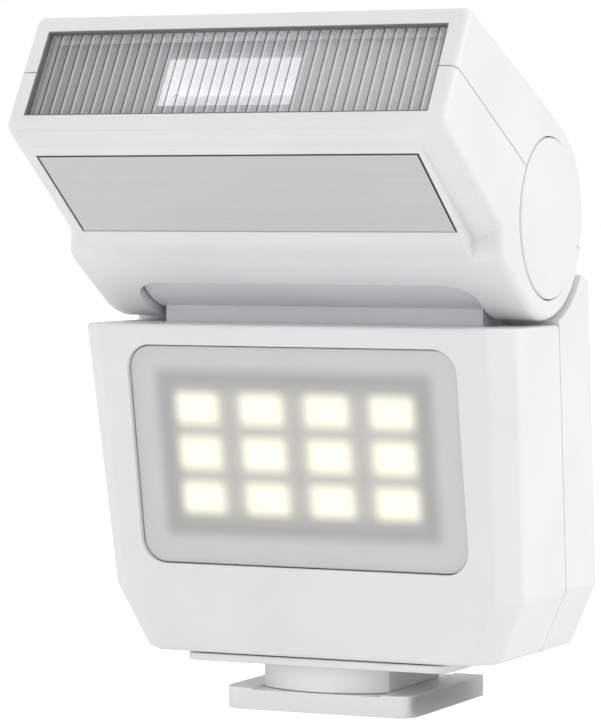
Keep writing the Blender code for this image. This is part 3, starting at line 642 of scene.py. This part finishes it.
def post_slot():
    outline = arc(2.8, 0, 90, 12, (SLOT_HALF - 2.8, SLOT_FRONT_U - 2.8))
    outline += arc(2.8, 90, 180, 12, (2.8 - SLOT_HALF, SLOT_FRONT_U - 2.8))
    outline += [(-SLOT_HALF, -12.0), (SLOT_HALF, -12.0)]
    return prism(outline, -12.0, SLOT_REAR_V, slot_wise)


def head_cutters():
    cavity = [(22.2, LENS_HIGH + 0.5), (22.2, LENS_LOW - 0.35)]
    cavity += [(9.0, -5.5), (4.0, -5.5), (4.0, 7.2), (9.0, 6.7)]
    cutters = [
        prism(cavity, -19.2, 19.2, in_head),
        prism(circle(BARREL_BORE), -SLOT_HALF, SLOT_HALF, in_head),
        prism(rectangle(-LENS_HALF, LENS_HALF, LENS_LOW, LENS_HIGH), -26.0, -21.0, lens_wise),
        post_slot(),
    ]
    for side in (-1, 1):
        ends = sorted((side * CAP_POCKET_FLOOR, side * 30.0))
        cutters.append(prism(circle(CAP_POCKET, facets=160), *ends, in_head))
    return cutters


def lens_wise(x, v, y):
    return (x, y, v)


def plate_outline(grow, thick):
    run = (PLATE_FRONT[0] - PLATE_REAR[0], PLATE_FRONT[1] - PLATE_REAR[1])
    long = math.hypot(*run)
    along = (run[0] / long, run[1] / long)
    inward = (-along[1], along[0])
    front = (PLATE_FRONT[0] + grow * along[0], PLATE_FRONT[1] + grow * along[1])
    rear = (PLATE_REAR[0] - grow * along[0], PLATE_REAR[1] - grow * along[1])
    outer = -0.6 if grow else 0.0
    corners = ((rear, outer), (front, outer), (front, thick), (rear, thick))
    return [(p[0] + inward[0] * t, p[1] + inward[1] * t) for p, t in corners]


def make_head(paint):
    for name, above in (("head_upper", True), ("head_lower", False)):
        shell = head_block()
        if not above:
            join(shell, chin(), label_pad())
        cut(shell, *head_cutters(), half_space(above))
        if not above:
            half = PLATE_HALF + 0.1
            cut(shell, prism(plate_outline(0.1, PLATE_THICK + 0.1), -half, half, in_head))
        soften(shell, 0.07, 40, 2)
        piece(shell, name, "head", paint["shell_white"], [f"{name}_shell"], HEAD)
    plate = soften(prism(plate_outline(0.0, PLATE_THICK), -PLATE_HALF, PLATE_HALF, in_head), 0.04, 30, 2)
    piece(plate, "label", "head", paint["label_silver"], ["label_plate"], HEAD)
    for side in (-1, 1):
        profile = [(CAP_RADIUS, side * 19.75), (CAP_RADIUS, side * 21.12)]
        cap = soften(turned(profile, in_head, 160), 0.16, 30, 3)
        name = "left" if side < 0 else "right"
        piece(cap, f"cap_{name}", "head", paint["shell_white"], [f"hinge_cap_{name}"], HEAD)
    make_lens(paint)
    make_reflector(paint)


def lens_opening(inward):
    return rectangle(inward - LENS_HALF, LENS_HALF - inward, LENS_LOW + inward, LENS_HIGH - inward)


def make_lens(paint):
    half, front, back = LENS_HALF - LENS_GAP, FACE_U - LENS_SINK, 22.3
    pitch = 2 * half / RIBS
    outline = [(-half, -back), (half, -back)]
    for i in range(RIBS):
        right = half - i * pitch
        for step in range(7):
            share = 0.04 + 0.92 * step / 6
            bulge = 0.1 * (1 - (2 * share - 1) ** 2)
            outline.append((right - share * pitch, -front + 0.1 - bulge))
    lens = prism(outline, LENS_LOW + LENS_GAP, LENS_HIGH - LENS_GAP, in_plan)
    piece(lens, "lens", "head", paint["lens_clear"], ["flash_lens"], HEAD, 50)
    # A thin real lining round the lens opening, coloured dark grey as painted shade for the opening's walls.
    gasket = prism(lens_opening(0.04), 0.08 - FACE_U, -front - 0.07, lens_wise)
    cut(gasket, prism(lens_opening(0.17), -26.0, -22.0, lens_wise))
    soften(gasket, 0.03, 40, 2)
    piece(gasket, "gasket", "head", paint["gasket_grey"], ["lens_gasket"], HEAD)
    frame = prism(rectangle(-18.9, 18.9, LENS_LOW - 0.2, LENS_HIGH + 0.3), -21.9, -21.1, lens_wise)
    window = rectangle(REFLECTOR_X - 6.9, REFLECTOR_X + 6.1, REFLECTOR_V - 2.4, REFLECTOR_V + 3.0)
    cut(frame, prism(window, -23.0, -20.0, lens_wise))
    soften(frame, 0.1, 40, 2)
    piece(frame, "lens_frame", "head", paint["frame_grey"], ["reflector_frame"], HEAD)


def bowl(half, depth_u, mouth_u=20.95, steps=24):
    """Curved back of the trough in side view."""
    points = []
    for i in range(steps + 1):
        t = 2 * i / steps - 1
        points.append((mouth_u - (mouth_u - depth_u) * (1 - t * t), REFLECTOR_V + half * t))
    return points


def crosswise(half):
    return (REFLECTOR_X - half, REFLECTOR_X + half)


def make_reflector(paint):
    trough = prism(bowl(3.35, 15.2), *crosswise(REFLECTOR_HALF + 0.4), in_head)
    inner = bowl(3.0, 15.6) + [(21.95, REFLECTOR_V + 3.0), (21.95, REFLECTOR_V - 3.0)]
    cut(trough, prism(inner, *crosswise(REFLECTOR_HALF), in_head))
    axis = (17.5, REFLECTOR_V)
    cut(trough, prism(circle(1.4, axis, 40), *crosswise(9.0), in_head))
    piece(trough, "reflector", "head", paint["reflector_metal"], ["flash_reflector"], HEAD)
    tube = soften(prism(circle(1.25, axis, 48), *crosswise(9.4), in_head), 0.2, 40, 3)
    piece(tube, "tube", "head", paint["tube_glass"], ["flash_tube"], HEAD)


# ---------------------------------------------------------------- body


def half_width(z):
    if z <= BODY_KINK:
        return HALF_BOTTOM + (HALF_KINK - HALF_BOTTOM) * (z - BODY_BOTTOM) / (BODY_KINK - BODY_BOTTOM)
    return HALF_KINK + (HALF_TOP - HALF_KINK) * (z - BODY_KINK) / (BODY_TOP - BODY_KINK)


def body_ring(depth, inward, low, top):
    levels = (low, BODY_KINK, top)
    right = [raked(half_width(z) - inward, z, depth) for z in levels]
    left = [raked(inward - half_width(z), z, depth) for z in reversed(levels)]
    return right + left


def make_front(paint):
    shell = skin([
        body_ring(0.0, FRONT_INSET, BODY_BOTTOM, BODY_TOP),
        body_ring(FRONT_CHAMFER, 0.0, BODY_BOTTOM, BODY_TOP),
        body_ring(PARTING + 4, 0.0, BODY_BOTTOM, BODY_TOP),
    ])
    soften(shell, 0.4, 12, 4)
    low, high = BODY_BOTTOM + WALL, BODY_TOP - WALL
    hollow = skin([
        body_ring(WALL, FRONT_INSET + WALL, low, high),
        body_ring(WALL + FRONT_CHAMFER, WALL, low, high),
        body_ring(PARTING + 9, WALL, low, high),
    ])
    window = rounded(-WINDOW_HALF, WINDOW_HALF, WINDOW_LOW, WINDOW_HIGH, WINDOW_CORNER)
    notch = rectangle(-POST_HALF - 0.2, POST_HALF + 0.2, POST_FRONT - 0.2, 12.0)
    behind = rectangle(-30.0, 30.0, -5.0, 60.0)
    cut(
        shell,
        hollow,
        prism(window, -2.0, 4.0, raked),
        prism(notch, BODY_TOP - 3, BODY_TOP + 2, in_plan),
        prism(behind, PARTING - SEAM / 2, PARTING + 20, raked),
    )
    soften(shell, 0.08, 40, 2)
    piece(shell, "body_front", "body", paint["shell_white"], ["body_front_shell"])


def make_rear(paint):
    shell = skin([
        body_ring(6.0, 0.0, BODY_BOTTOM, REAR_TOP),
        body_ring(BODY_DEPTH - REAR_CHAMFER, 0.0, BODY_BOTTOM, REAR_TOP),
        body_ring(BODY_DEPTH, REAR_CHAMFER, BODY_BOTTOM, REAR_TOP),
    ])
    slope = [(-9.0, 39.9), (2.9, 39.5), (5.3, 38.6), (12.0, 36.1), (12.0, 60.0), (-9.0, 60.0)]
    cradle = prism(circle(CRADLE, (AXIS_Y, AXIS_Z), 160), -30.0, 30.0, along_x)
    cut(shell, prism(slope, -30.0, 30.0, along_x), cradle)
    soften(shell, 0.4, 12, 4)
    roof, low = BODY_TOP - WALL, BODY_BOTTOM + WALL
    hollow = skin([
        body_ring(3.0, WALL, low, roof),
        body_ring(BODY_DEPTH - WALL - REAR_CHAMFER, WALL, low, roof),
        body_ring(BODY_DEPTH - WALL, REAR_CHAMFER + WALL, low, roof),
    ])
    ahead = rectangle(-30.0, 30.0, -5.0, 60.0)
    openings = [
        hollow,
        prism(ahead, -20.0, PARTING + SEAM / 2, raked),
        prism(rounded(-4.2, 4.2, 28.0, 31.0, 0.8), 19.0, 26.0, raked),
        prism(rounded(-4.7, 4.7, 9.0, 12.6, 1.5), 19.0, 26.0, raked),
        prism(circle(0.85, (0.0, 20.0), 40), 19.0, 26.0, raked),
    ]
    for x in (-BUTTON_X, BUTTON_X):
        openings.append(prism(circle(BUTTON_RADIUS + 0.12, (x, BUTTON_Z), 64), 19.0, 26.0, raked))
    cut(shell, *openings)
    soften(shell, 0.08, 40, 2)
    piece(shell, "body_rear", "body", paint["shell_white"], ["body_rear_shell"])


def make_window(paint):
    edge = 0.08
    pane = rounded(
        -WINDOW_HALF + edge, WINDOW_HALF - edge, WINDOW_LOW + edge, WINDOW_HIGH - edge, WINDOW_CORNER - edge
    )
    window = soften(prism(pane, WINDOW_SINK, 2.0, raked), 0.12, 40, 3)
    piece(window, "led_window", "body", paint["opal"], ["led_diffuser"])


def make_button(paint, name, x):
    spot = (x, BUTTON_Z)
    cap = turned([(BUTTON_RADIUS, 20.6), (BUTTON_RADIUS, BODY_DEPTH + 0.5)], raked, 64, spot)
    cut(cap, turned([(0.6, BODY_DEPTH + 0.3), (1.7, BODY_DEPTH + 0.6)], raked, 64, spot))
    soften(cap, 0.18, 30, 3)
    piece(cap, f"{name}_cap", name, paint["hinge_grey"], [name])


def make_knob(paint):
    """Slider with grooves across its grip, on the strip that closes its slot from inside."""
    grip = rounded(-KNOB_HALF, KNOB_HALF, KNOB_LOW, KNOB_HIGH, 0.6)
    knob = prism(grip, 20.0, BODY_DEPTH + 0.7, raked)
    join(knob, prism(rectangle(-6.3, 6.3, 27.3, 31.7), 20.1, BODY_DEPTH - WALL - 0.15, raked))
    for i in range(GROOVES):
        x = GROOVE_PITCH * (i - (GROOVES - 1) / 2)
        groove = rectangle(x - GROOVE_HALF, x + GROOVE_HALF, 27.0, 32.0)
        cut(knob, prism(groove, BODY_DEPTH + 0.45, BODY_DEPTH + 2, raked))
    soften(knob, 0.1, 40, 2)
    piece(knob, "mode_knob", "mode_slider", paint["hinge_grey"], ["mode_slider"])


def make_port(paint):
    port = prism(rounded(-PORT_HALF, PORT_HALF, PORT_LOW, PORT_HIGH, 1.4), 17.05, BODY_DEPTH - 0.1, raked)
    half, low, high = PORT_HALF - PORT_WALL, PORT_LOW + PORT_WALL, PORT_HIGH - PORT_WALL
    cut(port, prism(rounded(-half, half, low, high, 1.2), 17.6, BODY_DEPTH + 2, raked))
    soften(port, 0.06, 40, 2)
    piece(port, "port_shell", "body", paint["screw_steel"], ["charge_port"])


def make_controls(paint):
    make_button(paint, "test_button", -BUTTON_X)
    make_button(paint, "level_button", BUTTON_X)
    make_knob(paint)
    make_port(paint)


# ---------------------------------------------------------------- hinge, base and foot


def make_knuckle(paint):
    knuckle = prism(circle(KNUCKLE, (AXIS_Y, AXIS_Z), 160), -KNUCKLE_HALF, KNUCKLE_HALF, along_x)
    post = rectangle(-POST_HALF, POST_HALF, POST_FRONT, POST_REAR)
    join(knuckle, prism(post, BODY_TOP - 3.0, AXIS_Z - 5, in_plan))
    soften(knuckle, 0.25, 25, 3)
    cut(knuckle, prism(circle(PIN_BORE, (AXIS_Y, AXIS_Z), 64), -30.0, 30.0, along_x))
    piece(knuckle, "knuckle", "body", paint["hinge_grey"], ["hinge_knuckle"])


def stem_outline():
    half, bow = STEM_HALF, 9.5
    sweep = math.degrees(math.asin(half / bow))
    front = arc(bow, 270 - sweep, 270 + sweep, 24, (0.0, 0.8))
    return front + arc(1.0, 0, 90, 8, (half - 1.0, 5.2)) + arc(1.0, 90, 180, 8, (1.0 - half, 5.2))


def make_base(paint):
    plate = soften(prism(rounded(-13.0, 13.0, -9.5, 10.4, 1.8), 4.3, 5.0, in_plan), 0.14, 40, 3)
    stem = soften(prism(stem_outline(), 1.9, 4.6, in_plan), 0.12, 40, 3)
    join(plate, stem)
    cutters = [turned([(1.95, 1.0), (1.95, 3.9)], in_plan)]
    for side in (-1, 1):
        cutters.append(turned([(0.75, 1.0), (0.75, 4.1)], in_plan, centre=(side * FOOT_SCREW_X, 0.0)))
    for spot in BASE_SCREWS:
        cutters.append(turned([(1.45, 3.0), (1.45, 4.68)], in_plan, centre=spot))
    cut(plate, *cutters)
    piece(plate, "base", "body", paint["shell_white"], ["base_plate"])


def foot_outline():
    half, end, corner = 9.3, 8.8, 1.75
    left = arc(corner, 180, 270, 14, (-half + corner, -end + corner))
    right = arc(corner, 270, 360, 14, (half - corner, -end + corner))
    return left + right + [(half, end), (-half, end)]


def make_foot(paint):
    foot = prism(foot_outline(), 0.0, FOOT_THICK, in_plan)
    seat = rectangle(-STEM_HALF - 0.15, STEM_HALF + 0.15, -10.0, 10.0)
    cut(foot, prism(seat, FOOT_THICK - 0.15, 3.0, in_plan))
    cutters = [turned([(2.9, -1.0), (2.9, 0.9), (3.4, 0.9), (3.4, 3.0)], in_plan, 64)]
    for side in (-1, 1):
        spot = (side * FOOT_SCREW_X, 0.0)
        cutters.append(turned([(1.35, -1.0), (1.35, 0.95), (0.75, 0.96), (0.75, 3.0)], in_plan, centre=spot))
    soften(foot, 0.22, 60, 4)
    cut(foot, *cutters)
    piece(foot, "foot", "body", paint["foot_metal"], ["shoe_foot"])


# ---------------------------------------------------------------- the rest of the CAD, the room


def dress_kept_nodes(paint):
    """Every CAD node takes the procedural finish of its slot. Those that no piece replaces keep it."""
    for row in frame["record"]["subparts"]:
        node = frame["nodes"][row["node"]]
        finish = paint[row["material_slot"]]
        if row["node"] == "indicator_lens":
            finish = paint["tube_glass"]
        for slot in node.material_slots:
            slot.material = finish


def make_floor(paint):
    low = (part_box("centre_contact")[0].z - 0.00002) / MM
    floor = prism(rectangle(-3000.0, 3000.0, -2500.0, 6000.0), low - 1.0, low, in_plan)
    floor.name = "floor"
    floor.data.materials.append(paint["floor"])


def make_flag():
    """Low dark card beside the foot, out of the camera's sight, that keeps light off its right side."""
    card = prism(rectangle(13.6, 13.9, -9.2, 14.0), -0.4, 3.2, in_plan)
    card.name = "flag"
    card.data.materials.append(moulded("dark_card", (40, 40, 40), 0.8, 4, 400).material)
    card.visible_camera = False


def area_light(name, at, size, energy, look=(0.0, -0.01, 0.03)):
    data = bpy.data.lights.new(name, "AREA")
    data.shape = "RECTANGLE"
    data.size, data.size_y = size
    data.energy = energy
    lamp = bpy.data.objects.new(name, data)
    lamp.location = at
    lamp.rotation_mode = "QUATERNION"
    lamp.rotation_quaternion = (Vector(look) - Vector(at)).to_track_quat("-Z", "Y")
    bpy.context.scene.collection.objects.link(lamp)


def make_light():
    world = bpy.data.worlds.new("studio")
    world.use_nodes = True
    nodes, links = world.node_tree.nodes, world.node_tree.links
    background = nodes["Background"]
    background.inputs["Color"].default_value = (1.0, 1.0, 1.0, 1.0)
    seen = nodes.new("ShaderNodeLightPath").outputs["Is Camera Ray"]
    strength = nodes.new("ShaderNodeMapRange")
    strength.inputs["To Min"].default_value = STUDIO_LIGHT
    strength.inputs["To Max"].default_value = 1.0
    links.new(seen, strength.inputs["Value"])
    links.new(strength.outputs[0], background.inputs["Strength"])
    bpy.context.scene.world = world
    area_light("right_softbox", (0.5, 0.23, 0.35), (0.4, 0.4), 1.1)
    area_light("left_softbox", (-0.6, -0.3, 0.3), (0.4, 0.4), 0.45)
    area_light("front_softbox", (0.1, -0.6, 0.4), (0.5, 0.4), 0.27)
    bpy.context.scene.view_settings.view_transform = "Standard"


def make_camera():
    data = bpy.data.cameras.new("camera")
    data.lens = CAMERA_LENS
    data.sensor_width = 36.0
    data.clip_start, data.clip_end = 0.01, 20.0
    camera = bpy.data.objects.new("camera", data)
    camera.location = Vector(CAMERA_AT) * MM
    camera.rotation_euler = (math.radians(90) + CAMERA_PITCH, 0.0, CAMERA_YAW)
    bpy.context.scene.collection.objects.link(camera)
    bpy.context.scene.camera = camera


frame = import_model()
finishes = make_finishes()
dress_kept_nodes(finishes)
make_head(finishes)
make_front(finishes)
make_rear(finishes)
make_window(finishes)
make_controls(finishes)
make_knuckle(finishes)
make_base(finishes)
make_foot(finishes)
make_floor(finishes)
make_flag()
make_light()
make_camera()
